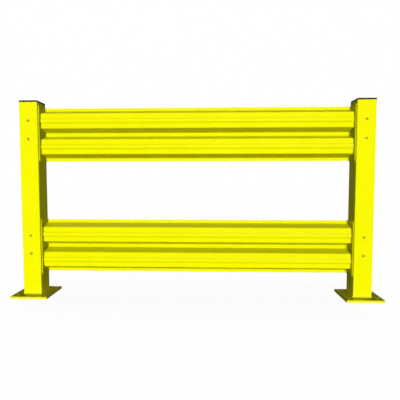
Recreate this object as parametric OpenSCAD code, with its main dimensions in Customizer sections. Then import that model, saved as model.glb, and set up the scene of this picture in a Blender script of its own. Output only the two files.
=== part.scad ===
// Industrial guardrail: one bay of double-height ribbed steel rail between two
// square posts on floor plates, with end brackets, through bolts and post caps.
// Millimetres, +Z up. The origin is on the floor, midway between the posts, on
// their centre line. The rails run along X and their ribbed face looks towards -Y.

/* [Overall] */
// Distance between the two post centre lines
post_pitch = 1829; // [1200:1:3000]
// Height of the steel post tube, above its floor plate
post_height = 1067; // [900:1:1400]

/* [Posts] */
// Outside width of the square post tube
post_width = 101.6; // [76:0.1:152]
// Wall thickness of the post tube
post_wall = 6.35; // [3:0.05:10]
// Radius of the tube's outside corners
post_corner = 4; // [1:0.5:12]

/* [Floor plates] */
// How far the square floor plate reaches past the post, on every side
plate_margin = 50.8; // [36:0.1:90]
// Thickness of the floor plate
plate_thick = 12.7; // [8:0.1:20]
// Distance from the anchor holes' centres to the plate's edges
anchor_inset = 25.4; // [18:0.1:36]
// Diameter of the anchor holes
anchor_hole = 19; // [12:0.5:26]

/* [Post caps] */
// Thickness of the cap's visible top
cap_thick = 9.5; // [3:0.1:15]
// Depth of the plug below the cap's top
cap_plug = 28; // [15:1:60]
// Wall thickness of the plug
cap_wall = 3; // [2:0.1:5]
// Clearance between the plug and the inside of the tube
cap_clearance = 0.3; // [0.1:0.1:1]
// Chamfer round the cap's top edge
cap_chamfer = 1.5; // [0.5:0.1:2.5]

/* [Rails] */
// Thickness of the rail's steel sheet
rail_gauge = 3; // [2:0.1:5]
// Depth from the rail's flanges to the flat face of its ribs
rib_depth = 57; // [30:1:80]
// Height of the flat face of a rib
rib_face = 80; // [60:1:90]
// Height that each sloping side of a rib takes up
rib_slope = 20; // [8:1:26]
// Height of the flat valley between the two ribs
valley_height = 22.5; // [16:0.5:60]
// Height of the flat flanges along the rail's top and bottom
flange_height = 18.5; // [14:0.5:40]
// How far the bead stands out from the face of the rib
bead_proud = 6; // [4:0.5:14]
// Height of the flat top of the bead
bead_top = 13; // [8:1:18]
// Height that each sloping side of the bead takes up
bead_slope = 9; // [5:0.5:12]
// Bend radius of the ribs, at mid thickness
rib_bend = 6; // [4:0.5:10]
// Bend radius of the beads, at mid thickness
bead_bend = 4; // [3:0.5:5]
// Distance from the top of the post tube down to the upper rail's top edge
upper_rail_drop = 20.1; // [5:0.1:80]
// Height of the lower rail's bottom edge above the floor
lower_rail_lift = 125.7; // [30:0.1:200]
// Setback of the ribs' flat faces behind the front of the posts
rail_setback = 33; // [18:0.5:36]

/* [Rail end brackets] */
// Thickness of the bracket plate
bracket_thick = 4; // [3:0.1:12]
// How far the bracket reaches past the rail's top and bottom edges
bracket_over = 2; // [1:0.5:12]
// Setback of the bracket's front edge behind the front of the post
bracket_setback = 12; // [0:0.5:16]
// Radius of the inner corner of the bracket's front edge
bracket_nose = 1.5; // [0.5:0.1:2.5]
// How far the rear leg stops short of the outer side of the post
bracket_short = 12; // [5:0.5:30]

/* [Bolts] */
// Shank diameter of the through bolts
bolt_dia = 9.5; // [8:0.5:12]
// Size across the flats of the bolt heads and nuts
bolt_flats = 14.3; // [13:0.1:19]
// Height of the bolt head
head_height = 6.2; // [5:0.1:8]
// Height of the nut
nut_height = 8.3; // [6:0.1:10]
// Outside diameter of the washer under the nut
washer_dia = 20.6; // [18:0.1:26]
// Thickness of the washer
washer_thick = 1.6; // [1.5:0.1:3]
// Distance between the two bolts of a bracket
bolt_pitch = 101.6; // [80:0.1:140]
// Height of the middle of the bolt pair above the middle of the rail
bolt_raise = 18; // [0:0.5:30]
// Extra diameter of the holes that the bolts pass through
bolt_hole_extra = 1.6; // [0.6:0.1:3]
// Length of thread that shows past the nut
bolt_end = 6; // [3:0.5:12]
// Clearance between the bolt's thread and the nut, on the radius
thread_clearance = 0.2; // [0.1:0.05:0.4]

/* [Hidden] */
$fn = 48;
post_x = post_pitch / 2;
half_post = post_width / 2;
tube_top = plate_thick + post_height;
tube_bore = post_width - 2 * post_wall;
plate_width = post_width + 2 * plate_margin;
anchor_pitch = plate_width - 2 * anchor_inset;
// Distance between the ribs' centre lines, and the height of a whole rail
rib_pitch = rib_face + 2 * rib_slope + valley_height;
rail_height = 2 * rib_pitch - valley_height + 2 * flange_height;
bead_base = bead_top + 2 * bead_slope;
// Heights of the rails' middles above the floor
upper_rail_z = tube_top - upper_rail_drop - rail_height / 2;
lower_rail_z = lower_rail_lift + rail_height / 2;
bracket_height = rail_height + 2 * bracket_over;
// The rail's ends stop against the side legs of the brackets
rail_length = post_pitch - post_width - 2 * bracket_thick;
// Plane of the front surface of the rail's flanges, as a Y value
flange_y = -half_post + rail_setback + rib_depth;
bracket_rear = half_post + bracket_thick;
nut_y = bracket_rear + washer_thick;
shank_end = nut_y + nut_height + bolt_end;
hole_dia = bolt_dia + bolt_hole_extra;
bolt_zs = [bolt_raise - bolt_pitch / 2, bolt_raise + bolt_pitch / 2];
yellow = [1, 0.85, 0.02];
black = [0.03, 0.03, 0.03];
zinc = [0.62, 0.63, 0.65];

// ---- shared shapes ----

// A square with round corners, centred
module round_square(width, radius) {
  square([width - 2 * radius, width], center = true);
  square([width, width - 2 * radius], center = true);
  for (sx = [-1, 1], sy = [-1, 1])
    translate([sx * (width / 2 - radius), sy * (width / 2 - radius)]) circle(r = radius);
}

// A hexagonal prism along Z, with a round hole if bore is above 0
module hex_prism(flats, height, bore) {
  difference() {
    cylinder(d = flats / cos(30), h = height, $fn = 6);
    if (bore > 0) translate([0, 0, -1]) cylinder(d = bore, h = height + 2);
  }
}

// Puts its children, drawn along Z, at both bolts of a bracket, running to +Y
module at_bolts(side, rail_z, y) {
  for (dz = bolt_zs)
    translate([side * post_x, y, rail_z + dz]) rotate([-90, 0, 0]) children();
}

// Points of one side of a bent sheet: a bend at b between a and c, offset to its left
function turn(u, v) = atan2(u[0] * v[1] - u[1] * v[0], u * v);
function dir(a, b) = (b - a) / norm(b - a);
function left(t) = [-sin(t), cos(t)];
function bend(a, b, c, r, off, steps) =
  let (u = dir(a, b), v = dir(b, c), t = turn(u, v), s = sign(t),
       start = atan2(u[1], u[0]),
       mid = b - u * (r * tan(abs(t) / 2)) + left(start) * (s * r))
  [for (i = [0:steps]) mid + left(start + t * i / steps) * (off - s * r)];

// Middle line of the rail's sheet, from its bottom edge to its top edge
function rib_line(z) = let (f = -rib_depth, p = -rib_depth - bead_proud) [
  [0, z - rib_face / 2 - rib_slope], [f, z - rib_face / 2],
  [f, z - bead_base / 2], [p, z - bead_top / 2], [p, z + bead_top / 2],
  [f, z + bead_base / 2], [f, z + rib_face / 2],
  [0, z + rib_face / 2 + rib_slope]];
rail_line = concat([[0, -rail_height / 2]], rib_line(-rib_pitch / 2),
  rib_line(rib_pitch / 2), [[0, rail_height / 2]]);
// In each rib the bends 1, 2, 7 and 8 are wide, and those of the bead are tight
function bend_radius(i) = let (k = (i - 1) % 8) k < 2 || k > 5 ? rib_bend : bead_bend;
function rail_side(off) = let (n = len(rail_line) - 1) concat(
  [rail_line[0] + left(90) * off],
  [for (i = [1:n - 1]) for (p = bend(rail_line[i - 1], rail_line[i],
    rail_line[i + 1], bend_radius(i), off, 4)) p],
  [rail_line[n] + left(90) * off]);
function reversed(list) = [for (i = [len(list) - 1:-1:0]) list[i]];

// ---- posts ----

module post(side) {
  color(yellow) difference() {
    translate([side * post_x, 0, plate_thick]) difference() {
      linear_extrude(post_height) round_square(post_width, post_corner);
      translate([0, 0, -1]) linear_extrude(post_height + 2) square(tube_bore, center = true);
    }
    for (z = [upper_rail_z, lower_rail_z])
      at_bolts(side, z, -half_post - 1) cylinder(d = hole_dia, h = post_width + 2);
  }
}
module post_left() post(-1);
module post_right() post(1);

// ---- floor plates ----

module base_plate(side) {
  color(yellow) translate([side * post_x, 0, 0]) difference() {
    translate([-plate_width / 2, -plate_width / 2, 0])
      cube([plate_width, plate_width, plate_thick]);
    for (sx = [-1, 1], sy = [-1, 1])
      translate([sx * anchor_pitch / 2, sy * anchor_pitch / 2, -1])
        cylinder(d = anchor_hole, h = plate_thick + 2);
  }
}
module base_plate_left() base_plate(-1);
module base_plate_right() base_plate(1);

// ---- post caps ----

module cap(side) {
  plug = tube_bore - 2 * cap_clearance;
  color(black) translate([side * post_x, 0, tube_top]) {
    linear_extrude(cap_thick - cap_chamfer) round_square(post_width, post_corner);
    translate([0, 0, cap_thick - cap_chamfer])
      linear_extrude(cap_chamfer) round_square(post_width - 2 * cap_chamfer, post_corner);
    translate([0, 0, -cap_plug]) difference() {
      linear_extrude(cap_plug) square(plug, center = true);
      translate([0, 0, -1]) linear_extrude(cap_plug + 1)
        square(plug - 2 * cap_wall, center = true);
    }
  }
}
module cap_left() cap(-1);
module cap_right() cap(1);

// ---- rails ----

module rail(z) {
  color(yellow) translate([-rail_length / 2, flange_y + rail_gauge / 2, z])
    rotate([90, 0, 90]) linear_extrude(rail_length)
      polygon(concat(rail_side(rail_gauge / 2), reversed(rail_side(-rail_gauge / 2))));
}
module upper_rail() rail(upper_rail_z);
module lower_rail() rail(lower_rail_z);

// ---- rail end brackets: a side leg inside the post and a rear leg behind it ----

module bracket_plan() {
  front = -half_post + bracket_setback;
  t = bracket_thick;
  // side leg, its eased front corner, and the outside of the bend
  translate([half_post, front + bracket_nose])
    square([t, half_post - front - bracket_nose]);
  translate([half_post, front]) square([t - bracket_nose, bracket_nose]);
  intersection() {
    translate([half_post + t - bracket_nose, front + bracket_nose])
      circle(r = bracket_nose);
    translate([half_post + t - bracket_nose, front]) square(bracket_nose);
  }
  intersection() {
    translate([half_post, half_post]) circle(r = t);
    translate([half_post, half_post]) square([t, t]);
  }
  // rear leg
  translate([-half_post + bracket_short, half_post])
    square([post_width - bracket_short, t]);
}
module bracket(side, rail_z) {
  color(yellow) difference() {
    translate([side * post_x, 0, rail_z - bracket_height / 2])
      linear_extrude(bracket_height) scale([-side, 1]) bracket_plan();
    at_bolts(side, rail_z, half_post - 1) cylinder(d = hole_dia, h = bracket_thick + 2);
  }
}
module bracket_upper_left() bracket(-1, upper_rail_z);
module bracket_upper_right() bracket(1, upper_rail_z);
module bracket_lower_left() bracket(-1, lower_rail_z);
module bracket_lower_right() bracket(1, lower_rail_z);

// ---- through bolts, with a washer and a nut behind each bracket ----

module bolts(side, rail_z) {
  color(zinc) {
    at_bolts(side, rail_z, -half_post - head_height) hex_prism(bolt_flats, head_height, 0);
    at_bolts(side, rail_z, -half_post) cylinder(d = bolt_dia, h = shank_end + half_post);
  }
}
module bolts_upper_left() bolts(-1, upper_rail_z);
module bolts_upper_right() bolts(1, upper_rail_z);
module bolts_lower_left() bolts(-1, lower_rail_z);
module bolts_lower_right() bolts(1, lower_rail_z);

module washers(side, rail_z) {
  color(zinc) at_bolts(side, rail_z, bracket_rear) difference() {
    cylinder(d = washer_dia, h = washer_thick);
    translate([0, 0, -1]) cylinder(d = hole_dia, h = washer_thick + 2);
  }
}
module washers_upper_left() washers(-1, upper_rail_z);
module washers_upper_right() washers(1, upper_rail_z);
module washers_lower_left() washers(-1, lower_rail_z);
module washers_lower_right() washers(1, lower_rail_z);

module nuts(side, rail_z) {
  color(zinc) at_bolts(side, rail_z, nut_y)
    hex_prism(bolt_flats, nut_height, bolt_dia + 2 * thread_clearance);
}
module nuts_upper_left() nuts(-1, upper_rail_z);
module nuts_upper_right() nuts(1, upper_rail_z);
module nuts_lower_left() nuts(-1, lower_rail_z);
module nuts_lower_right() nuts(1, lower_rail_z);

post_left();
post_right();
base_plate_left();
base_plate_right();
cap_left();
cap_right();
upper_rail();
lower_rail();
bracket_upper_left();
bracket_upper_right();
bracket_lower_left();
bracket_lower_right();
bolts_upper_left();
bolts_upper_right();
bolts_lower_left();
bolts_lower_right();
washers_upper_left();
washers_upper_right();
washers_lower_left();
washers_lower_right();
nuts_upper_left();
nuts_upper_right();
nuts_lower_left();
nuts_lower_right();
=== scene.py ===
"""Looks of one bay of industrial guardrail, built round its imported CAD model.

The bay is two square posts on floor plates, two ribbed rails, the brackets that
carry the rails' ends, and the through bolts that clamp them. Lengths are metres.
"""

import logging
import math
from dataclasses import dataclass, field
from enum import Enum
from typing import Any, Callable, Iterable, Sequence

import bmesh
import bpy
from bpy.types import ID, Material, Mesh, Node, NodeTree, Object
from bpy.types import NodeSocket as Socket
from mathutils import Matrix, Vector


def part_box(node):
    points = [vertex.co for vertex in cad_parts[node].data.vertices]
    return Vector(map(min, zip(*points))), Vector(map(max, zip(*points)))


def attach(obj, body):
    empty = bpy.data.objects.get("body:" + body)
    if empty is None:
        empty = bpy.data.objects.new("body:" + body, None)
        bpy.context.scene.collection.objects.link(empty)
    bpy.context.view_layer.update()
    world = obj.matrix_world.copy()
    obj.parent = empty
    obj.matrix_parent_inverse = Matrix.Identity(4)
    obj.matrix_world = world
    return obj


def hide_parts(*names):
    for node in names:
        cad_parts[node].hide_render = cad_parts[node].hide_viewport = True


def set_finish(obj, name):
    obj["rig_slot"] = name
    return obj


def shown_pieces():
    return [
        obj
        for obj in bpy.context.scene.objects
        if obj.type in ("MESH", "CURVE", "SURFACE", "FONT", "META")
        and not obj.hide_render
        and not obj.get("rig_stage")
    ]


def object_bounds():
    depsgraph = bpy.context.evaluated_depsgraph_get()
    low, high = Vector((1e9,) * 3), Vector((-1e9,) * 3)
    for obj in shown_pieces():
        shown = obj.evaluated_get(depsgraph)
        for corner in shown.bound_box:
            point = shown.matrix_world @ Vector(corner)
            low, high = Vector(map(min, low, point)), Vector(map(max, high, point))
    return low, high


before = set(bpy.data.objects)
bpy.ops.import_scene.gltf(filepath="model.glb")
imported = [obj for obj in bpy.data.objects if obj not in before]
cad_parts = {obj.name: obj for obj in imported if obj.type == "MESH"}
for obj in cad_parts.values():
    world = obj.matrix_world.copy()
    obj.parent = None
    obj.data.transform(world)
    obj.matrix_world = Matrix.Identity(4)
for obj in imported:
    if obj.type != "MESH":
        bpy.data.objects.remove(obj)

log = logging.getLogger("guardrail")

Point = tuple[float, float, float]
Constants = tuple[tuple[str, Any], ...]

MM = 0.001
# points that lie closer together than this are one point
MERGE = 1e-6
# faces of a CAD mesh that turn by less than this are one flat face
FLAT_DEG = 0.4
# edges that turn by more than this are hard edges
HARD_DEG = 40.0
# faces across the small rounding of a hard edge
EASE_STEPS = 2
# nearly all values of a noise lie between these
NOISE_LOW, NOISE_HIGH = 0.3, 0.7


class Side(Enum):
    """The two ends of the bay, with the sign of X there."""

    LEFT = -1
    RIGHT = 1

    @property
    def word(self) -> str:
        """The name that nodes and pieces use."""
        return self.name.lower()


class Level(Enum):
    """The two heights at which a rail runs."""

    UPPER = "upper"
    LOWER = "lower"


class Slot(Enum):
    """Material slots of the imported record."""

    COAT = "yellow_coat"
    PLASTIC = "black_plastic"
    ZINC = "zinc_hardware"


# -------- node trees


def add_node(tree: NodeTree, kind: str, values: dict[str, Any] | None = None) -> Node:
    """Adds one node to a tree, with its settings and links.

    Args:
        tree: The shader or geometry tree.
        kind: The node's bl_idname.
        values: Properties by name, and inputs by name or place. An input takes a
            value, or a link from an output or from a node's first live output.

    Returns:
        The new node.
    """
    node = tree.nodes.new(kind)
    for name, value in (values or {}).items():
        if isinstance(value, Node):
            value = next(output for output in value.outputs if output.enabled)
        if isinstance(value, Socket):
            tree.links.new(value, node_input(node, name))
        elif name in node.bl_rna.properties:
            setattr(node, name, value)
        else:
            node_input(node, name).default_value = value
    return node


def node_input(node: Node, name: str) -> Socket:
    """Finds an input of a node.

    Args:
        node: The node.
        name: The input's name, or its place as digits.

    Returns:
        The input socket.
    """
    if name.isdigit():
        return node.inputs[int(name)]
    live = [s for s in node.inputs if s.name == name and s.enabled]
    return live[0] if live else node.inputs[name]


def linear(colour: str) -> tuple[float, float, float, float]:
    """Turns an sRGB hex colour to linear.

    Args:
        colour: Six hex digits after a hash.

    Returns:
        Red, green, blue and an alpha of one.
    """
    parts = [int(colour[i : i + 2], 16) / 255 for i in (1, 3, 5)]
    out = [c / 12.92 if c <= 0.04045 else ((c + 0.055) / 1.055) ** 2.4 for c in parts]
    return (out[0], out[1], out[2], 1.0)


def per_metre(size_mm: float) -> float:
    """The scale of a pattern whose features are that many millimetres across."""
    return 1000.0 / size_mm


# -------- finishes


def blank_material(name: str, constants: Constants) -> tuple[Material, NodeTree, Node]:
    """Makes a material with only a Principled shader and its output.

    Args:
        name: The finish's name.
        constants: Shader inputs that are the same all over, with their values.

    Returns:
        The material, its tree and the shader node.
    """
    made = bpy.data.materials.new(name)
    made.use_nodes = True
    tree = made.node_tree
    tree.nodes.clear()
    shader = add_node(tree, "ShaderNodeBsdfPrincipled", dict(constants))
    add_node(tree, "ShaderNodeOutputMaterial", {"Surface": shader})
    return made, tree, shader


@dataclass(frozen=True)
class CloudedFinish:
    """A finish with clouds of a second tone and a fine relief.

    The clouds change the sheen too, so the tone and the sheen follow one pattern.
    """

    name: str
    colour: str
    cloud_colour: str
    roughness_low: float
    roughness_high: float
    cloud_mm: float
    relief_mm: float
    relief_depth_mm: float
    relief_strength: float
    constants: Constants
    cloud_detail: float = 3.0
    cloud_raggedness: float = 0.5
    relief_detail: float = 2.0
    relief_raggedness: float = 0.5

    def material(self) -> Material:
        """Builds the finish.

        Returns:
            The material.
        """
        made, tree, shader = blank_material(self.name, self.constants)
        place = add_node(tree, "ShaderNodeTexCoord").outputs["Object"]
        cloud = add_node(
            tree,
            "ShaderNodeTexNoise",
            {
                "Scale": per_metre(self.cloud_mm),
                "Detail": self.cloud_detail,
                "Roughness": self.cloud_raggedness,
                "Vector": place,
            },
        ).outputs["Fac"]
        sheen = add_node(
            tree,
            "ShaderNodeMapRange",
            {
                "From Min": NOISE_LOW,
                "From Max": NOISE_HIGH,
                "To Min": self.roughness_low,
                "To Max": self.roughness_high,
                "Value": cloud,
            },
        )
        bump = add_node(
            tree,
            "ShaderNodeBump",
            {
                "Strength": self.relief_strength,
                "Distance": self.relief_depth_mm * MM,
                "Height": self.relief(tree, place),
            },
        )
        tone = self.tone(tree, place, cloud)
        tree.links.new(tone, shader.inputs["Base Color"])
        tree.links.new(sheen.outputs["Result"], shader.inputs["Roughness"])
        tree.links.new(bump.outputs["Normal"], shader.inputs["Normal"])
        return made

    def tone(self, tree: NodeTree, place: Socket, cloud: Socket) -> Socket:
        """Mixes the two tones.

        Args:
            tree: The material's tree.
            place: Where a point is on the object.
            cloud: The second tone's share.

        Returns:
            The colour.
        """
        both = {"6": linear(self.colour), "7": linear(self.cloud_colour)}
        mixed = add_node(
            tree, "ShaderNodeMix", {"data_type": "RGBA", **both, "0": cloud}
        )
        return mixed.outputs[2]

    def relief(self, tree: NodeTree, place: Socket) -> Socket:
        """Draws the fine relief.

        Args:
            tree: The material's tree.
            place: Where a point is on the object.

        Returns:
            The height.
        """
        grain = add_node(
            tree,
            "ShaderNodeTexNoise",
            {
                "Scale": per_metre(self.relief_mm),
                "Detail": self.relief_detail,
                "Roughness": self.relief_raggedness,
                "Vector": place,
            },
        )
        return grain.outputs["Fac"]


@dataclass(frozen=True)
class PowderCoat(CloudedFinish):
    """Polyester powder coat, sprayed and baked on mild steel.

    It gives an even, strong lemon yellow with a slight gloss, the faint dimples
    called orange peel, and a film that is a little thinner in some places.
    """

    name: str = "polyester_powder_coat_yellow"
    colour: str = "#FBFA00"
    cloud_colour: str = "#F1EC00"
    roughness_low: float = 0.36
    roughness_high: float = 0.46
    # the film's thickness drifts over about a hand's width
    cloud_mm: float = 110.0
    cloud_raggedness: float = 0.55
    # dimples are about 1.5 mm apart, drawn at 5 mm so that they show
    relief_mm: float = 5.0
    relief_depth_mm: float = 0.05
    relief_strength: float = 0.35
    relief_raggedness: float = 0.4
    constants: Constants = (("IOR", 1.5),)
    # where the thin film's tone starts and is strongest, and its share there
    thin_from: float = 0.35
    thin_to: float = 0.75
    thin_share: float = 0.35
    # how far up from the floor a trace of dust lies, and its greatest share
    dust_mm: float = 45.0
    dust_colour: str = "#A8A06A"
    dust_share: float = 0.16
    # dust lies in patches about as wide as a thumb
    patch_mm: float = 18.0
    patch_detail: float = 4.0
    patch_raggedness: float = 0.6

    def tone(self, tree: NodeTree, place: Socket, cloud: Socket) -> Socket:
        """Mixes the tones of a full and a thin film, and lays dust near the floor.

        Args:
            tree: The material's tree.
            place: Where a point is on the object.
            cloud: How thin the film is.

        Returns:
            The colour.
        """
        thin = add_node(
            tree,
            "ShaderNodeMapRange",
            {
                "From Min": self.thin_from,
                "From Max": self.thin_to,
                "To Max": self.thin_share,
                "Value": cloud,
            },
        )
        paint = super().tone(tree, place, thin.outputs["Result"])
        # dust thins out from the floor upwards
        height = add_node(tree, "ShaderNodeSeparateXYZ", {"Vector": place})
        low = add_node(
            tree,
            "ShaderNodeMapRange",
            {
                "From Max": self.dust_mm * MM,
                "To Min": 1.0,
                "To Max": 0.0,
                "Value": height.outputs["Z"],
            },
        )
        patches = add_node(
            tree,
            "ShaderNodeTexNoise",
            {
                "Scale": per_metre(self.patch_mm),
                "Detail": self.patch_detail,
                "Roughness": self.patch_raggedness,
                "Vector": place,
            },
        )
        share = add_node(
            tree, "ShaderNodeMath", {"operation": "MULTIPLY", "0": low, "1": patches}
        )
        dust = add_node(
            tree,
            "ShaderNodeMath",
            {"operation": "MULTIPLY", "1": self.dust_share, "0": share},
        )
        coat = add_node(
            tree,
            "ShaderNodeMix",
            {"data_type": "RGBA", "7": linear(self.dust_colour), "0": dust, "6": paint},
        )
        return coat.outputs[2]


@dataclass(frozen=True)
class MouldedPolyethylene(CloudedFinish):
    """Black polyethylene, injection moulded in a spark-eroded tool.

    It gives a deep, slightly grey black with a soft sheen and a fine even grain.
    """

    name: str = "moulded_polyethylene_black"
    colour: str = "#0D0D0E"
    cloud_colour: str = "#1C1C1E"
    roughness_low: float = 0.42
    roughness_high: float = 0.58
    # the melt's flow leaves clouds about as wide as a thumb
    cloud_mm: float = 22.0
    # the tool's grain is about 0.4 mm, drawn at 1.6 mm so that it shows
    relief_mm: float = 1.6
    relief_depth_mm: float = 0.06
    relief_strength: float = 0.5
    constants: Constants = (("IOR", 1.49),)

    def relief(self, tree: NodeTree, place: Socket) -> Socket:
        """Draws the cells that spark erosion leaves in the tool.

        Args:
            tree: The material's tree.
            place: Where a point is on the object.

        Returns:
            The height.
        """
        cells = add_node(
            tree,
            "ShaderNodeTexVoronoi",
            {"Scale": per_metre(self.relief_mm), "Vector": place},
        )
        return cells.outputs["Distance"]


@dataclass(frozen=True)
class ZincPlate(CloudedFinish):
    """Zinc, electroplated on cold-forged steel and passivated in yellow chromate.

    It gives a pale, greenish gold metal with clouds of a deeper straw, and a sheen
    broken by the forging's fine texture.
    """

    name: str = "yellow_chromated_zinc"
    colour: str = "#E0DC5A"
    cloud_colour: str = "#D0C840"
    roughness_low: float = 0.28
    roughness_high: float = 0.42
    # the passivate's clouds are a few millimetres across
    cloud_mm: float = 5.0
    # forging texture is about 0.2 mm, drawn at 0.8 mm so that it shows
    relief_mm: float = 0.8
    relief_depth_mm: float = 0.02
    relief_strength: float = 0.4
    constants: Constants = (("Metallic", 1.0),)


@dataclass(frozen=True)
class StudioSurface:
    """A plain surface of the studio, with an even glow of its own."""

    name: str
    colour: str
    glow_colour: str
    glow: float
    constants: Constants = ()

    def material(self) -> Material:
        """Builds the surface.

        Returns:
            The material.
        """
        lit = (
            ("Base Color", linear(self.colour)),
            ("Emission Color", linear(self.glow_colour)),
            ("Emission Strength", self.glow),
        )
        return blank_material(self.name, (*lit, *self.constants))[0]


@dataclass(frozen=True)
class PaleFloor(StudioSurface):
    """A matt floor of pale opal sheet, lit from below, so its shadows are faint."""

    name: str = "pale_studio_floor"
    colour: str = "#F6F6F6"
    glow_colour: str = "#F6F6F6"
    glow: float = 0.78
    constants: Constants = (
        ("Roughness", 0.9),
        ("Specular IOR Level", 0.1),
    )


@dataclass(frozen=True)
class WhiteBackdrop(StudioSurface):
    """An evenly lit white backdrop."""

    name: str = "white_backdrop"
    colour: str = "#000000"
    glow_colour: str = "#FFFFFF"
    glow: float = 1.0


@dataclass
class Finishes:
    """The materials that the pieces share."""

    coat: Material = field(default_factory=lambda: PowderCoat().material())
    plastic: Material = field(default_factory=lambda: MouldedPolyethylene().material())
    zinc: Material = field(default_factory=lambda: ZincPlate().material())


# -------- mesh helpers


def new_object(name: str, data: ID | None) -> Object:
    """Puts a mesh, a light or a camera in the scene, at the origin.

    Args:
        name: The object's name.
        data: What it holds.

    Returns:
        The object.
    """
    made = bpy.data.objects.new(name, data)
    bpy.context.scene.collection.objects.link(made)
    return made


def mesh_of(
    name: str,
    points: Sequence[Point],
    faces: Sequence[Sequence[int]] = (),
    edges: Sequence[tuple[int, int]] = (),
) -> Mesh:
    """Makes a mesh from points, faces and loose edges.

    Args:
        name: The mesh's name.
        points: The vertices.
        faces: Vertex numbers of each face.
        edges: Vertex numbers of each loose edge.

    Returns:
        The mesh.
    """
    made = bpy.data.meshes.new(name)
    made.from_pydata(list(points), list(edges), [list(f) for f in faces])
    made.update()
    return made


def ring(radii: Sequence[float], heights: Sequence[float]) -> list[Point]:
    """Sets points evenly round Z.

    Args:
        radii: Each point's distance from Z.
        heights: Each point's height.

    Returns:
        The points, anticlockwise from +X.
    """
    turns = [2 * math.pi * i / len(radii) for i in range(len(radii))]
    return [
        (r * math.cos(turn), r * math.sin(turn), z)
        for r, turn, z in zip(radii, turns, heights)
    ]


def circle(radius: float, height: float, count: int) -> list[Point]:
    """Sets that many points on a level circle round Z."""
    return ring([radius] * count, [height] * count)


def skin(name: str, rings: Sequence[Sequence[Point]], looped: bool = False) -> Mesh:
    """Skins a row of rings that have as many points each.

    Args:
        name: The mesh's name.
        rings: The rings, in order.
        looped: Whether the last ring joins the first; if not, both are closed.

    Returns:
        The closed mesh, its faces outwards.
    """
    count = len(rings[0])
    points = [point for one in rings for point in one]
    faces: list[Sequence[int]] = []
    for a in range(len(rings) if looped else len(rings) - 1):
        b = (a + 1) % len(rings)
        for i in range(count):
            j = (i + 1) % count
            faces.append((a * count + i, a * count + j, b * count + j, b * count + i))
    if not looped:
        faces.append(range(count))
        faces.append(range(len(points) - count, len(points)))
    return outward(mesh_of(name, points, faces))


def outward(mesh: Mesh) -> Mesh:
    """Merges doubled points and points every face of a closed mesh outwards.

    Args:
        mesh: The mesh.

    Returns:
        The same mesh.
    """
    work = bmesh.new()
    work.from_mesh(mesh)
    bmesh.ops.remove_doubles(work, verts=work.verts, dist=MERGE)
    bmesh.ops.recalc_face_normals(work, faces=work.faces)
    work.to_mesh(mesh)
    work.free()
    return mesh


def apply_modifiers(thing: Object) -> Object:
    """Replaces an object's mesh by what its modifiers make of it.

    Args:
        thing: The object; its modifiers are removed.

    Returns:
        The same object.
    """
    bpy.context.view_layer.update()
    graph = bpy.context.evaluated_depsgraph_get()
    thing.data = bpy.data.meshes.new_from_object(thing.evaluated_get(graph))
    thing.modifiers.clear()
    return thing


def ease_edges(thing: Object, reach: float, over_deg: float = HARD_DEG) -> None:
    """Adds a modifier that slightly rounds an object's hard edges.

    Args:
        thing: The object.
        reach: How far the rounding reaches from each edge.
        over_deg: Edges that turn by more than this are rounded.
    """
    ease = thing.modifiers.new("ease", "BEVEL")
    ease.width = reach
    ease.segments = EASE_STEPS
    ease.limit_method = "ANGLE"
    ease.angle_limit = math.radians(over_deg)


def settle(thing: Object, sharp_deg: float = HARD_DEG) -> Object:
    """Turns an object with modifiers into a plain, closed, smoothly shaded mesh.

    Wide flat faces set the shading at their rims, so they look flat and the narrow
    faces of a rounding carry the whole turn.

    Args:
        thing: The object; its modifiers are removed.
        sharp_deg: Edges that turn by more than this stay sharp.

    Returns:
        The same object.
    """
    apply_modifiers(thing)
    mesh = outward(thing.data)
    mesh.polygons.foreach_set("use_smooth", [True] * len(mesh.polygons))
    mesh.set_sharp_from_angle(angle=math.radians(sharp_deg))
    weighted = thing.modifiers.new("flat_faces_lead", "WEIGHTED_NORMAL")
    weighted.keep_sharp = True
    return apply_modifiers(thing)


def finish_piece(
    piece: Object, material: Material, slot: Slot, stands_for: Iterable[str] = ()
) -> Object:
    """Dresses a finished piece and gives it to the frame.

    Args:
        piece: The piece, at the origin.
        material: Its finish.
        slot: The record's slot that it takes its finish from.
        stands_for: The CAD nodes that it replaces.

    Returns:
        The piece.
    """
    piece.data.materials.clear()
    piece.data.materials.append(material)
    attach(piece, "root")
    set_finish(piece, slot.value)
    for node in stands_for:
        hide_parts(node)
    piece.data.calc_loop_triangles()
    log.info("%s: %d triangles", piece.name, len(piece.data.loop_triangles))
    return piece


def eased_copy(node: str, name: str, ease: float) -> Object:
    """Copies a CAD node with its hard edges slightly rounded.

    Args:
        node: The CAD node.
        name: The copy's name.
        ease: How far the rounding reaches from each edge.

    Returns:
        The copy, as a plain mesh.
    """
    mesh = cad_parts[node].data.copy()
    mesh.name = name
    work = bmesh.new()
    work.from_mesh(mesh)
    bmesh.ops.remove_doubles(work, verts=work.verts, dist=MERGE)
    bmesh.ops.dissolve_limit(
        work, angle_limit=math.radians(FLAT_DEG), verts=work.verts, edges=work.edges
    )
    work.to_mesh(mesh)
    work.free()
    made = new_object(name, mesh)
    ease_edges(made, ease)
    return settle(made)


def centre(node: str) -> Vector:
    """The middle of a CAD node's box."""
    low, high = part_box(node)
    return (low + high) / 2


def path_object(name: str, points: Sequence[Point], closed: bool) -> Object:
    """Makes an object that holds one path as edges.

    Args:
        name: The object's name.
        points: The path's corners.
        closed: Whether the last corner joins the first.

    Returns:
        The object.
    """
    count = len(points)
    edges = [(i, i + 1) for i in range(count - 1)]
    if closed:
        edges.append((count - 1, 0))
    return new_object(name, mesh_of(name, points, (), edges))


# -------- geometry trees


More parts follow.
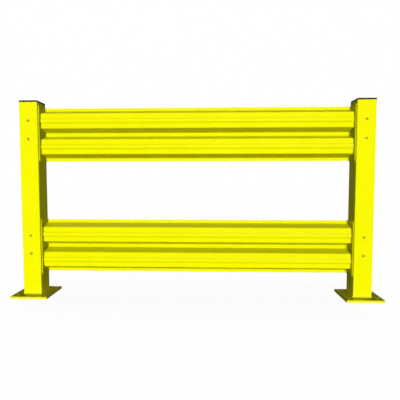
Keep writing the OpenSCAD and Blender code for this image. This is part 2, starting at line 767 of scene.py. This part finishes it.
@dataclass
class GeometryTree:
    """A Geometry Nodes tree with named inputs for its sizes and its finish."""

    name: str
    inputs: dict[str, str]

    def __post_init__(self) -> None:
        """Makes the empty tree, its inputs and its output."""
        self.tree = bpy.data.node_groups.new(self.name, "GeometryNodeTree")
        face = self.tree.interface
        face.new_socket("Geometry", in_out="OUTPUT", socket_type="NodeSocketGeometry")
        kinds = {"Geometry": "NodeSocketGeometry", **self.inputs}
        for name, kind in {**kinds, "Finish": "NodeSocketMaterial"}.items():
            face.new_socket(name, in_out="INPUT", socket_type=kind)
        self.given = add_node(self.tree, "NodeGroupInput").outputs

    def close(self, geometry: Socket) -> "GeometryTree":
        """Ends the tree in real geometry with the finish set on it.

        Args:
            geometry: What the tree makes.

        Returns:
            The tree.
        """
        real = add_node(
            self.tree, "GeometryNodeRealizeInstances", {"Geometry": geometry}
        )
        dressed = add_node(
            self.tree,
            "GeometryNodeSetMaterial",
            {"Geometry": real, "Material": self.given["Finish"]},
        )
        add_node(self.tree, "NodeGroupOutput", {"0": dressed})
        return self

    def put_on(self, thing: Object, values: dict[str, Any]) -> None:
        """Adds the tree to an object as a modifier.

        Args:
            thing: The object.
            values: The tree's inputs by name.
        """
        modifier = thing.modifiers.new(self.name, "NODES")
        modifier.node_group = self.tree
        names = {
            s.name: s.identifier
            for s in self.tree.interface.items_tree
            if s.item_type == "SOCKET" and s.in_out == "INPUT"
        }
        for name, value in values.items():
            modifier[names[name]] = value


def rolled_sheet_tree() -> GeometryTree:
    """Bends a folded line's corners to their radii and draws it out to a length.

    Returns:
        The tree.
    """
    made = GeometryTree(
        "rolled_sheet", {"Length": "NodeSocketFloat", "Bend Steps": "NodeSocketInt"}
    )
    tree, given = made.tree, made.given
    line = add_node(tree, "GeometryNodeMeshToCurve", {"Mesh": given["Geometry"]})
    radius = add_node(
        tree,
        "GeometryNodeInputNamedAttribute",
        {"data_type": "FLOAT", "Name": "bend_radius"},
    )
    bent = add_node(
        tree,
        "GeometryNodeFilletCurve",
        {
            "mode": "POLY",
            "Limit Radius": True,
            "Curve": line,
            "Count": given["Bend Steps"],
            "Radius": radius,
        },
    )
    edge = add_node(tree, "GeometryNodeCurveToMesh", {"Curve": bent})
    reach = add_node(tree, "ShaderNodeCombineXYZ", {"X": given["Length"]})
    sheet = add_node(
        tree,
        "GeometryNodeExtrudeMesh",
        {"mode": "EDGES", "Mesh": edge, "Offset": reach},
    )
    return made.close(sheet.outputs["Mesh"])


def weld_run_tree() -> GeometryTree:
    """Lays a weld bead along a path: a round core and a row of overlapping ripples.

    Returns:
        The tree.
    """
    # the core's width as a share of the ripples', and the faces across a bend
    core_share, bend_steps = 0.86, 4
    # faces round the core and round each ripple, and from end to end of a ripple
    round_steps, ripple_rings = 10, 6
    # a ripple's least and greatest scale: twice across the bead, then along it
    least, most = (0.94, 0.94, 0.62), (1.06, 1.06, 0.8)
    made = GeometryTree(
        "weld_run",
        {
            "Bead Radius": "NodeSocketFloat",
            "Ripple Pitch": "NodeSocketFloat",
            "Bend Radius": "NodeSocketFloat",
            "Seed": "NodeSocketInt",
        },
    )
    tree, given = made.tree, made.given
    line = add_node(tree, "GeometryNodeMeshToCurve", {"Mesh": given["Geometry"]})
    path = add_node(
        tree,
        "GeometryNodeFilletCurve",
        {
            "mode": "POLY",
            "Count": bend_steps,
            "Limit Radius": True,
            "Curve": line,
            "Radius": given["Bend Radius"],
        },
    )
    core_radius = add_node(
        tree,
        "ShaderNodeMath",
        {"operation": "MULTIPLY", "1": core_share, "0": given["Bead Radius"]},
    )
    profile = add_node(
        tree,
        "GeometryNodeCurvePrimitiveCircle",
        {"Resolution": round_steps, "Radius": core_radius},
    )
    core = add_node(
        tree,
        "GeometryNodeCurveToMesh",
        {"Fill Caps": True, "Curve": path, "Profile Curve": profile},
    )
    steps = add_node(
        tree,
        "GeometryNodeResampleCurve",
        {"mode": "LENGTH", "Curve": path, "Length": given["Ripple Pitch"]},
    )
    ripple = add_node(
        tree,
        "GeometryNodeMeshUVSphere",
        {
            "Segments": round_steps,
            "Rings": ripple_rings,
            "Radius": given["Bead Radius"],
        },
    )
    tangent = add_node(tree, "GeometryNodeInputTangent")
    aim = add_node(
        tree, "FunctionNodeAlignRotationToVector", {"axis": "Z", "Vector": tangent}
    )
    size = add_node(
        tree,
        "FunctionNodeRandomValue",
        {"data_type": "FLOAT_VECTOR", "0": least, "1": most, "Seed": given["Seed"]},
    )
    row = add_node(
        tree,
        "GeometryNodeInstanceOnPoints",
        {"Points": steps, "Instance": ripple, "Rotation": aim, "Scale": size},
    )
    both = add_node(tree, "GeometryNodeJoinGeometry")
    tree.links.new(core.outputs["Mesh"], both.inputs[0])
    tree.links.new(row.outputs["Instances"], both.inputs[0])
    return made.close(both.outputs["Geometry"])


def screw_thread_tree() -> GeometryTree:
    """Winds a ridge up along Z at a radius, with a fixed pitch.

    Returns:
        The tree.
    """
    # points along one turn of the ridge, and sides of its section
    turn_steps, ridge_sides = 24, 4
    names = ("Radius", "Pitch", "Turns", "Ridge")
    made = GeometryTree("screw_thread", {name: "NodeSocketFloat" for name in names})
    tree, given = made.tree, made.given
    rise = add_node(
        tree,
        "ShaderNodeMath",
        {"operation": "MULTIPLY", "0": given["Pitch"], "1": given["Turns"]},
    )
    helix = add_node(
        tree,
        "GeometryNodeCurveSpiral",
        {
            "Resolution": turn_steps,
            "Rotations": given["Turns"],
            "Start Radius": given["Radius"],
            "End Radius": given["Radius"],
            "Height": rise,
        },
    )
    ridge = add_node(
        tree,
        "GeometryNodeCurvePrimitiveCircle",
        {"Resolution": ridge_sides, "Radius": given["Ridge"]},
    )
    thread = add_node(
        tree,
        "GeometryNodeCurveToMesh",
        {"Fill Caps": True, "Curve": helix, "Profile Curve": ridge},
    )
    return made.close(thread.outputs["Mesh"])


def repeat_tree() -> GeometryTree:
    """Sets one part, drawn along Z, at every point, with its Z turned to +Y.

    Returns:
        The tree.
    """
    made = GeometryTree("repeat_at_points", {"Part": "NodeSocketObject"})
    part = add_node(made.tree, "GeometryNodeObjectInfo", {"Object": made.given["Part"]})
    row = add_node(
        made.tree,
        "GeometryNodeInstanceOnPoints",
        {
            "Rotation": (-math.pi / 2, 0.0, 0.0),
            "Points": made.given["Geometry"],
            "Instance": part.outputs["Geometry"],
        },
    )
    return made.close(row.outputs["Instances"])


@dataclass
class Trees:
    """The Geometry Nodes trees that the sub-assemblies share."""

    sheet: GeometryTree = field(default_factory=rolled_sheet_tree)
    weld: GeometryTree = field(default_factory=weld_run_tree)
    thread: GeometryTree = field(default_factory=screw_thread_tree)
    repeat: GeometryTree = field(default_factory=repeat_tree)


# -------- posts and feet


@dataclass
class Welded:
    """A coated sub-assembly whose parts are welded to their neighbours."""

    finishes: Finishes
    trees: Trees
    weld_radius: float
    weld_bend: float
    ripple_pitch: float
    seed: int
    ease: float = 0.5 * MM
    weld_sharp_deg: float = 60.0

    def coated(self, node: str, name: str) -> Object:
        """Replaces a CAD node by a coated piece that throws no yellow on others.

        Args:
            node: The CAD node.
            name: The piece's name.

        Returns:
            The piece.
        """
        piece = eased_copy(node, name, self.ease)
        piece.visible_diffuse = False
        return finish_piece(piece, self.finishes.coat, Slot.COAT, [node])

    def lay_weld(
        self, name: str, path: Sequence[Point], closed: bool, seed: int
    ) -> Object:
        """Lays a weld along a path.

        Args:
            name: The weld's name.
            path: The path's corners.
            closed: Whether it runs round to its start.
            seed: The seed of its ripples.

        Returns:
            The weld.
        """
        weld = path_object(name, path, closed)
        self.trees.weld.put_on(
            weld,
            {
                "Bead Radius": self.weld_radius,
                "Ripple Pitch": self.ripple_pitch,
                "Bend Radius": self.weld_bend,
                "Seed": seed,
                "Finish": self.finishes.coat,
            },
        )
        settle(weld, self.weld_sharp_deg)
        return finish_piece(weld, self.finishes.coat, Slot.COAT)


@dataclass
class Posts(Welded):
    """The two square tubes and the weld that joins each to its floor plate."""

    weld_radius: float = 2.8 * MM
    weld_bend: float = 5.0 * MM
    ripple_pitch: float = 3.2 * MM
    seed: int = 11
    # how far the weld's middle lies outside the tube and above the plate
    weld_out: float = 0.7 * MM

    def build(self) -> None:
        """Dresses the tubes and lays the weld round each foot."""
        for side in Side:
            self.coated(f"post_{side.word}", f"post_tube_{side.word}")
            self.foot_weld(side)

    def foot_weld(self, side: Side) -> Object:
        """Lays the weld round the foot of one post.

        Args:
            side: The post.

        Returns:
            The weld.
        """
        low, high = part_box(f"post_{side.word}")
        out, up = self.weld_out, low.z + self.weld_out
        corners = [
            (low.x - out, low.y - out, up),
            (high.x + out, low.y - out, up),
            (high.x + out, high.y + out, up),
            (low.x - out, high.y + out, up),
        ]
        name = f"foot_weld_{side.word}"
        return self.lay_weld(name, corners, True, self.seed + side.value)


@dataclass
class FloorPlates:
    """The two drilled floor plates, with flame-cut edges that are slightly eased."""

    finishes: Finishes
    ease: float = 1.0 * MM

    def build(self) -> None:
        """Builds both plates."""
        for side in Side:
            node = f"base_plate_{side.word}"
            plate = eased_copy(node, f"floor_plate_{side.word}", self.ease)
            finish_piece(plate, self.finishes.coat, Slot.COAT, [node])


# -------- post caps


@dataclass
class PostCaps:
    """The moulded caps: a crowned top over the tube and a hollow plug inside it."""

    finishes: Finishes
    corner: float = 4.0 * MM
    corner_steps: int = 6
    top_radius: float = 1.3 * MM
    top_steps: int = 5
    crown: float = 0.5 * MM
    # where the crown has a ring of points, as shares of the half width
    crown_rings: tuple[float, ...] = (0.9, 0.7, 0.45, 0.2)
    wall: float = 3.0 * MM
    plug_inset: float = 6.65 * MM
    plug_corner: float = 1.6 * MM
    # how far the plug's lower end leans in, and over what height
    lead_in: float = 0.6 * MM
    lead_up: float = 1.2 * MM
    hollow_corner: float = 1.2 * MM
    # the innermost ring of the hollow's ceiling, as a share of the hollow
    ceiling_share: float = 0.3
    ceiling_corner: float = 2.0 * MM
    sharp_deg: float = 50.0

    def build(self) -> None:
        """Builds both caps."""
        for side in Side:
            node = f"cap_{side.word}"
            cap = new_object(f"post_cap_{side.word}", self.mesh(side))
            settle(cap, self.sharp_deg)
            finish_piece(cap, self.finishes.plastic, Slot.PLASTIC, [node])

    def outline(self, half: float, corner: float) -> list[tuple[float, float]]:
        """Draws a square with round corners.

        Args:
            half: Half the square's width.
            corner: The radius of its corners.

        Returns:
            Points round it, anticlockwise, always as many.
        """
        out = []
        reach = (half - corner) * math.sqrt(2)
        for quarter in range(4):
            middle = math.radians(90 * quarter + 45)
            for step in range(self.corner_steps + 1):
                turn = math.radians(90 * quarter + 90 / self.corner_steps * step)
                x = reach * math.cos(middle) + corner * math.cos(turn)
                y = reach * math.sin(middle) + corner * math.sin(turn)
                out.append((x, y))
        return out

    def mesh(self, side: Side) -> Mesh:
        """Skins the cap over a stack of outlines.

        Args:
            side: The post that it closes.

        Returns:
            The closed mesh.
        """
        node = f"cap_{side.word}"
        low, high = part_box(node)
        mid, half = centre(node), (high.x - low.x) / 2
        # the top rests on the tube's upper end
        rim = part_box(f"post_{side.word}")[1].z
        plug = half - self.plug_inset
        inner = plug - self.wall
        # half width, corner radius and height of each outline, from the inside out
        stack = [
            (inner * self.ceiling_share, self.ceiling_corner, rim),
            (inner, self.hollow_corner, rim),
            (inner, self.hollow_corner, low.z),
            (plug - self.lead_in, self.plug_corner, low.z),
            (plug, self.plug_corner, low.z + self.lead_up),
            (plug, self.plug_corner, rim),
            (half, self.corner, rim),
        ]
        shoulder = high.z - self.crown - self.top_radius
        for step in range(self.top_steps + 1):
            turn = math.radians(90 / self.top_steps * step)
            reach = half - self.top_radius * (1 - math.cos(turn))
            height = shoulder + self.top_radius * math.sin(turn)
            stack.append((reach, self.corner, height))
        for share in self.crown_rings:
            height = high.z - self.crown * share**2
            stack.append((half * share, self.corner * share, height))
        rings = [
            [(mid.x + x, mid.y + y, height) for x, y in self.outline(reach, corner)]
            for reach, corner, height in stack
        ]
        return skin("cap", rings)


# -------- rails


@dataclass
class RailProfile:
    """The folded middle line of a rail's sheet, seen along the rail."""

    gauge: float = 3.0 * MM
    depth: float = 57.0 * MM
    face: float = 80.0 * MM
    slope: float = 20.0 * MM
    valley: float = 22.5 * MM
    bead_proud: float = 6.0 * MM
    bead_top: float = 13.0 * MM
    bead_slope: float = 9.0 * MM
    wide_bend: float = 6.0 * MM
    tight_bend: float = 4.0 * MM

    def folds(self, half_height: float) -> list[Point]:
        """Lists the folds from the bottom edge to the top edge.

        Args:
            half_height: Half the height of the line.

        Returns:
            For each fold, how far it stands forward of the flanges, its height
            from the rail's middle and its bend radius.
        """
        out = [(0.0, -half_height, 0.0)]
        half, top = self.face / 2, self.bead_top / 2
        front, proud = self.depth, self.depth + self.bead_proud
        for rib in (-1, 1):
            z = rib * (self.face + 2 * self.slope + self.valley) / 2
            out += [
                (0.0, z - half - self.slope, self.wide_bend),
                (front, z - half, self.wide_bend),
                (front, z - top - self.bead_slope, self.tight_bend),
                (proud, z - top, self.tight_bend),
                (proud, z + top, self.tight_bend),
                (front, z + top + self.bead_slope, self.tight_bend),
                (front, z + half, self.wide_bend),
                (0.0, z + half + self.slope, self.wide_bend),
            ]
        out.append((0.0, half_height, 0.0))
        return out

    def line(
        self, level: Level, x: float, inset: float = 0.0, back: float = 0.0
    ) -> tuple[list[Point], list[float]]:
        """Places the folds on a rail.

        Args:
            level: Which rail.
            x: Where along the rail.
            inset: How far the line stops short of the rail's edges.
            back: How far behind the sheet's middle it runs.

        Returns:
            The folds' places and their bend radii.
        """
        low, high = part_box(f"{level.value}_rail")
        mid_z, plane = (low.z + high.z) / 2, high.y - self.gauge / 2 + back
        folds = self.folds((high.z - low.z) / 2 - inset)
        places = [(x, plane - out, mid_z + z) for out, z, _ in folds]
        return places, [radius for _, _, radius in folds]


@dataclass
class RibbedRails:
    """The two roll-formed rails."""

    finishes: Finishes
    trees: Trees
    profile: RailProfile = field(default_factory=RailProfile)
    bend_steps: int = 7
    ease: float = 0.5 * MM
    ease_over_deg: float = 60.0

    def build(self) -> None:
        """Builds both rails."""
        for level in Level:
            self.rail(level)

    def rail(self, level: Level) -> Object:
        """Rolls one rail.

        Args:
            level: Which rail.

        Returns:
            The rail.
        """
        node = f"{level.value}_rail"
        low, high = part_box(node)
        points, radii = self.profile.line(level, low.x)
        rail = path_object(f"ribbed_rail_{level.value}", points, closed=False)
        radius = rail.data.attributes.new("bend_radius", "FLOAT", "POINT")
        radius.data.foreach_set("value", radii)
        self.trees.sheet.put_on(
            rail,
            {
                "Length": high.x - low.x,
                "Bend Steps": self.bend_steps,
                "Finish": self.finishes.coat,
            },
        )
        wall = rail.modifiers.new("gauge", "SOLIDIFY")
        wall.thickness = self.profile.gauge
        wall.offset = 0.0
        wall.use_even_offset = True
        ease_edges(rail, self.ease, self.ease_over_deg)
        settle(rail)
        rail.visible_diffuse = False
        return finish_piece(rail, self.finishes.coat, Slot.COAT, [node])


# -------- end brackets


@dataclass
class EndBrackets(Welded):
    """The four bent plates that hold the rails' ends, and the welds on them."""

    weld_radius: float = 2.5 * MM
    weld_bend: float = 4.0 * MM
    ripple_pitch: float = 2.6 * MM
    seed: int = 21
    upper_seed_step: int = 5
    profile: RailProfile = field(default_factory=RailProfile)
    # how far the weld's middle lies from the rail's end and behind its sheet
    weld_off: float = 1.0 * MM
    weld_behind: float = 2.7 * MM

    def build(self) -> None:
        """Builds the brackets and their welds."""
        for level in Level:
            for side in Side:
                end = f"{level.value}_{side.word}"
                self.coated(f"bracket_{end}", f"end_bracket_{end}")
                self.rail_weld(level, side)

    def rail_weld(self, level: Level, side: Side) -> Object:
        """Lays the weld that joins one end of a rail to its bracket, behind the sheet.

        Args:
            level: Which rail.
            side: Which end.

        Returns:
            The weld.
        """
        low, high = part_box(f"{level.value}_rail")
        end = low.x if side is Side.LEFT else high.x
        x = end - side.value * self.weld_off
        path, _ = self.profile.line(level, x, self.weld_radius, self.weld_behind)
        step = self.upper_seed_step if level is Level.UPPER else 0
        name = f"rail_weld_{level.value}_{side.word}"
        return self.lay_weld(name, path, False, self.seed + side.value + step)


# -------- bolts


@dataclass
class ThroughBolts:
    """The bolts that clamp each bracket to its post, with washers and nuts."""

    finishes: Finishes
    trees: Trees
    flats: float = 14.3 * MM
    head: float = 6.2 * MM
    shank: float = 9.5 * MM
    shank_steps: int = 32
    # heads and nuts slope away outside a circle, a share of their flats wide
    crest_share: float = 0.96
    crest_fall_deg: float = 28.0
    hexagon_steps: int = 72
    # length of the threaded end, and the thread's pitch, ridge and cut
    threaded: float = 24.0 * MM
    pitch: float = 1.5875 * MM
    ridge: float = 0.62 * MM
    cut: float = 0.8 * MM
    # the cone where the cut starts, and the one at the tip
    cut_cone: float = 1.0 * MM
    tip_cone: float = 0.6 * MM
    # how far the ridge starts past the cut's start, and how much shorter it is
    ridge_start: float = 1.2 * MM
    ridge_short: float = 3.2 * MM
    nut_bore: float = 9.9 * MM
    nut_lip: float = 0.5 * MM
    washer_bore: float = 11.1 * MM
    washer_ease: float = 0.3 * MM
    washer_steps: int = 48
    sharp_deg: float = 30.0

    def build(self) -> None:
        """Builds a pair of bolts, washers and nuts for each bracket."""
        makers: dict[str, Callable[[float], Mesh]] = {
            "bolts": self.bolt_mesh,
            "washers": self.washer_mesh,
            "nuts": self.nut_mesh,
        }
        for kind, maker in makers.items():
            low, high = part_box(f"{kind}_{Level.UPPER.value}_{Side.LEFT.word}")
            part = new_object(f"{kind}_part", maker(high.y - low.y))
            for level in Level:
                for side in Side:
                    self.pair(kind, part, level, side)
            bpy.data.objects.remove(part)

    def pair(self, kind: str, part: Object, level: Level, side: Side) -> Object:
        """Sets a part on both bolt axes of a bracket.

        Args:
            kind: The word that the CAD nodes of this part begin with.
            part: The part, drawn along Z from the origin.
            level: Which rail.
            side: Which end.

        Returns:
            The pair.
        """
        end = f"{level.value}_{side.word}"
        low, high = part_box(f"{kind}_{end}")
        width = high.x - low.x if kind == "washers" else self.flats
        x = centre(f"bolts_{end}").x
        points = [(x, low.y, z) for z in (low.z + width / 2, high.z - width / 2)]
        name = f"{kind[:-1]}_pair_{end}"
        pair = new_object(name, mesh_of(name, points))
        self.trees.repeat.put_on(pair, {"Part": part, "Finish": self.finishes.zinc})
        settle(pair, self.sharp_deg)
        return finish_piece(pair, self.finishes.zinc, Slot.ZINC, [f"{kind}_{end}"])

    def hexagon(self, height: float, bore: float, both: bool) -> Mesh:
        """Makes a hexagon whose corners are turned down, as on heads and nuts.

        Args:
            height: Its height along Z.
            bore: Diameter of a hole through it, or 0.
            both: Whether the lower corners are turned down too.

        Returns:
            The closed mesh, from Z 0 up, with two corners on the X axis.
        """
        half, count = self.flats / 2, self.hexagon_steps
        crest = half * self.crest_share
        fall = math.tan(math.radians(self.crest_fall_deg))
        turns = [2 * math.pi * i / count for i in range(count)]
        sides = [half / math.cos(t % (math.pi / 3) - math.pi / 6) for t in turns]
        drops = [max(0.0, (r - crest) * fall) for r in sides]
        if both:
            rings = [circle(crest, 0.0, count), ring(sides, drops)]
        else:
            rings = [ring(sides, [0.0] * count)]
        rings.append(ring(sides, [height - drop for drop in drops]))
        rings.append(circle(crest, height, count))
        if bore:
            inner, lip = bore / 2, self.nut_lip
            rings = [
                circle(inner, lip, count),
                circle(inner + lip, 0.0, count),
                *rings,
                circle(inner + lip, height, count),
                circle(inner, height - lip, count),
            ]
        return skin("hexagon", rings, looped=bool(bore))

    def bolt_mesh(self, length: float) -> Mesh:
        """Makes a bolt with a chamfered head, a plain shank and a threaded end.

        Args:
            length: From the top of the head to the tip.

        Returns:
            The mesh, head first from Z 0 up.
        """
        head = self.hexagon(self.head, 0.0, both=False)
        # the head's turned-down corners face away from the shank
        head.transform(
            Matrix.Translation((0, 0, self.head)) @ Matrix.Scale(-1, 4, (0, 0, 1))
        )
        start, radius = length - self.threaded, self.shank / 2
        root = radius - self.cut
        outline = [
            (radius, self.head),
            (radius, start),
            (root, start + self.cut_cone),
            (root, length - self.tip_cone),
            (root - self.tip_cone, length),
        ]
        shank = skin("shank", [circle(r, z, self.shank_steps) for r, z in outline])
        helix = new_object("thread_part", mesh_of("thread", [(0.0, 0.0, 0.0)]))
        self.trees.thread.put_on(
            helix,
            {
                "Radius": radius - self.ridge,
                "Pitch": self.pitch,
                "Turns": (self.threaded - self.ridge_short) / self.pitch,
                "Ridge": self.ridge,
                "Finish": self.finishes.zinc,
            },
        )
        settle(helix)
        helix.data.transform(Matrix.Translation((0, 0, start + self.ridge_start)))
        work = bmesh.new()
        for mesh in (outward(head), shank, helix.data):
            work.from_mesh(mesh)
        made = bpy.data.meshes.new("bolt")
        work.to_mesh(made)
        work.free()
        bpy.data.objects.remove(helix)
        return made

    def washer_mesh(self, thickness: float) -> Mesh:
        """Makes a flat washer with eased rims.

        Args:
            thickness: Its thickness.

        Returns:
            The mesh, from Z 0 up.
        """
        low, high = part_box(f"washers_{Level.UPPER.value}_{Side.LEFT.word}")
        outer, inner = (high.x - low.x) / 2, self.washer_bore / 2
        ease = self.washer_ease
        outline = [
            (inner, ease),
            (inner + ease, 0.0),
            (outer - ease, 0.0),
            (outer, ease),
            (outer, thickness - ease),
            (outer - ease, thickness),
            (inner + ease, thickness),
            (inner, thickness - ease),
        ]
        rings = [circle(r, z, self.washer_steps) for r, z in outline]
        return skin("washer", rings, looped=True)

    def nut_mesh(self, height: float) -> Mesh:
        """Makes a nut with both faces chamfered."""
        return self.hexagon(height, self.nut_bore, both=True)


# -------- studio


@dataclass(frozen=True)
class Sun:
    """An even, far-off light.

    A softness in degrees is how wide it looks. A power of 1 lights a white surface
    that faces it to white.
    """

    name: str
    way: Point
    soft_deg: float
    power: float

    def add(self) -> Object:
        """Adds the light to the scene.

        Returns:
            The light.
        """
        data = bpy.data.lights.new(self.name, "SUN")
        data.angle = math.radians(self.soft_deg)
        data.energy = self.power * math.pi
        made = new_object(self.name, data)
        made.rotation_euler = Vector(self.way).to_track_quat("-Z", "Y").to_euler()
        return made


@dataclass(frozen=True)
class Panel:
    """A soft panel beside one end of the bay, with its power on the post there."""

    name: str
    side: Side
    power: float = 0.38
    place: float = 2.5
    width: float = 0.9
    height: float = 1.2
    middle: float = 0.75

    def add(self) -> Object:
        """Adds the light to the scene.

        Returns:
            The light.
        """
        data = bpy.data.lights.new(self.name, "AREA")
        data.shape = "RECTANGLE"
        data.size, data.size_y = self.width, self.height
        away = self.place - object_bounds()[1][0]
        data.energy = self.power * (math.pi * away) ** 2
        made, sign = new_object(self.name, data), self.side.value
        made.location = (sign * self.place, 0.0, self.middle)
        made.rotation_euler = (math.pi / 2, 0.0, sign * math.pi / 2)
        made.visible_camera = False
        return made


@dataclass
class Studio:
    """The floor, the backdrop, the lights and the camera."""

    eye: Point = (0.0967, -2.0497, 0.661)
    turn_left: float = 0.03451
    tilt_down: float = 0.05815
    lens_per_width: float = 0.91715
    film_width_mm: float = 36.0
    nearest: float = 0.05
    farthest: float = 200.0
    floor_reach: float = 26.0
    floor_steps: int = 64
    # the floor lies this far below the plates, so that their faces don't meet
    floor_drop: float = 0.2 * MM
    backdrop_reach: float = 30.0
    backdrop_steps: tuple[int, int] = (48, 24)
    air_glow: float = 0.022
    # how strongly the broad lights shine that only small parts catch
    shine: tuple[tuple[Slot, float], ...] = ((Slot.ZINC, 0.6), (Slot.PLASTIC, 0.2))
    shine_soft_deg: float = 150.0

    def build(self) -> None:
        """Builds the studio."""
        self.camera()
        floor = self.floor()
        self.backdrop()
        self.lights(floor)
        self.air()
        bpy.context.scene.view_settings.view_transform = "Standard"
        log.info("studio built")

    def camera(self) -> None:
        """Sets the camera in front of the rails, a little right of the middle."""
        data = bpy.data.cameras.new("camera")
        data.sensor_fit = "HORIZONTAL"
        data.sensor_width = self.film_width_mm
        data.lens = self.film_width_mm * self.lens_per_width
        data.clip_start, data.clip_end = self.nearest, self.farthest
        made = new_object("camera", data)
        made.location = self.eye
        made.rotation_euler = (math.pi / 2 - self.tilt_down, 0.0, self.turn_left)
        bpy.context.scene.camera = made

    def floor(self) -> Object:
        """Lays a round, pale floor just under the plates.

        Returns:
            The floor.
        """
        count = self.floor_steps
        rim = circle(self.floor_reach, -self.floor_drop, count)
        mesh = mesh_of("floor", rim, [range(count)])
        return self.set_up("floor", mesh, PaleFloor())

    def backdrop(self) -> Object:
        """Closes the studio with a white dome.

        Returns:
            The dome.
        """
        mesh = bpy.data.meshes.new("backdrop")
        work = bmesh.new()
        round_steps, up_steps = self.backdrop_steps
        bmesh.ops.create_uvsphere(
            work,
            u_segments=round_steps,
            v_segments=up_steps,
            radius=self.backdrop_reach,
        )
        work.to_mesh(mesh)
        work.free()
        return self.set_up("backdrop", mesh, WhiteBackdrop())

    def set_up(self, name: str, mesh: Mesh, surface: StudioSurface) -> Object:
        """Sets up a part of the studio that only the camera sees.

        Args:
            name: Its name.
            mesh: Its shape.
            surface: Its finish.

        Returns:
            The part of the studio.
        """
        made = new_object(name, mesh)
        made.data.materials.append(surface.material())
        made.visible_diffuse = False
        made.visible_glossy = False
        made.visible_shadow = False
        made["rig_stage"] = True
        return made

    def lights(self, floor: Object) -> None:
        """Adds the soft lights, each of which falls only on what it is there for.

        Args:
            floor: The floor, which has an overhead light of its own.
        """
        ahead = (-self.turn_left, 1.0, -math.sin(self.tilt_down))
        front = Sun("front_light", ahead, soft_deg=20, power=1.02).add()
        back = Sun("back_light", (0.0, -1.0, -0.05), soft_deg=24, power=0.74).add()
        left = Panel("left_light", Side.LEFT).add()
        right = Panel("right_light", Side.RIGHT).add()
        over = Sun("overhead_light", (0.0, 0.1, -1.0), soft_deg=50, power=0.01).add()
        gloss = [
            Sun("front_gloss", (-0.25, 0.8, -0.9), soft_deg=20, power=0.08).add(),
            Sun("back_gloss", (0.25, -0.25, -1.0), soft_deg=20, power=0.08).add(),
        ]
        for light in (front, back, left, right):
            light.visible_glossy = False
        for light in gloss:
            light.visible_diffuse = False
        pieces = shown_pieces()
        upright = [p for p in pieces if not p.name.startswith("floor_plate")]
        self.receive((front, back, over), "guardrail_only", pieces)
        self.receive((left, right, *gloss), "upright_only", upright)
        ground = Sun("floor_light", (0.0, 0.0, -1.0), soft_deg=110, power=0.285).add()
        self.receive((ground,), "floor_only", [floor])
        for slot, power in self.shine:
            shine = [
                Sun("front_shine", ahead, self.shine_soft_deg, power).add(),
                Sun("back_shine", (0.0, -1.0, -0.3), self.shine_soft_deg, power).add(),
            ]
            group = [p for p in pieces if p.get("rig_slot") == slot.value]
            self.receive(shine, f"{slot.value}_only", group)

    def receive(
        self, lights: Sequence[Object], name: str, things: Iterable[Object]
    ) -> None:
        """Lets lights fall only on some things.

        Args:
            lights: The lights.
            name: The name of the group of things.
            things: What they fall on.
        """
        group = bpy.data.collections.new(name)
        for thing in things:
            group.objects.link(thing)
        for light in lights:
            light.light_linking.receiver_collection = group

    def air(self) -> None:
        """Adds the studio's dim, even surrounding light."""
        world = bpy.data.worlds.new("studio_air")
        world.use_nodes = True
        air = world.node_tree.nodes["Background"]
        air.inputs["Color"].default_value = linear("#FFFFFF")
        air.inputs["Strength"].default_value = self.air_glow
        bpy.context.scene.world = world


# -------- build


def main() -> None:
    """Builds every sub-assembly, then the studio."""
    logging.basicConfig(level=logging.INFO, format="%(name)s %(message)s")
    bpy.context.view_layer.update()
    finishes, trees = Finishes(), Trees()
    Posts(finishes, trees).build()
    FloorPlates(finishes).build()
    PostCaps(finishes).build()
    RibbedRails(finishes, trees).build()
    EndBrackets(finishes, trees).build()
    ThroughBolts(finishes, trees).build()
    Studio().build()


if __name__ == "__main__":
    main()
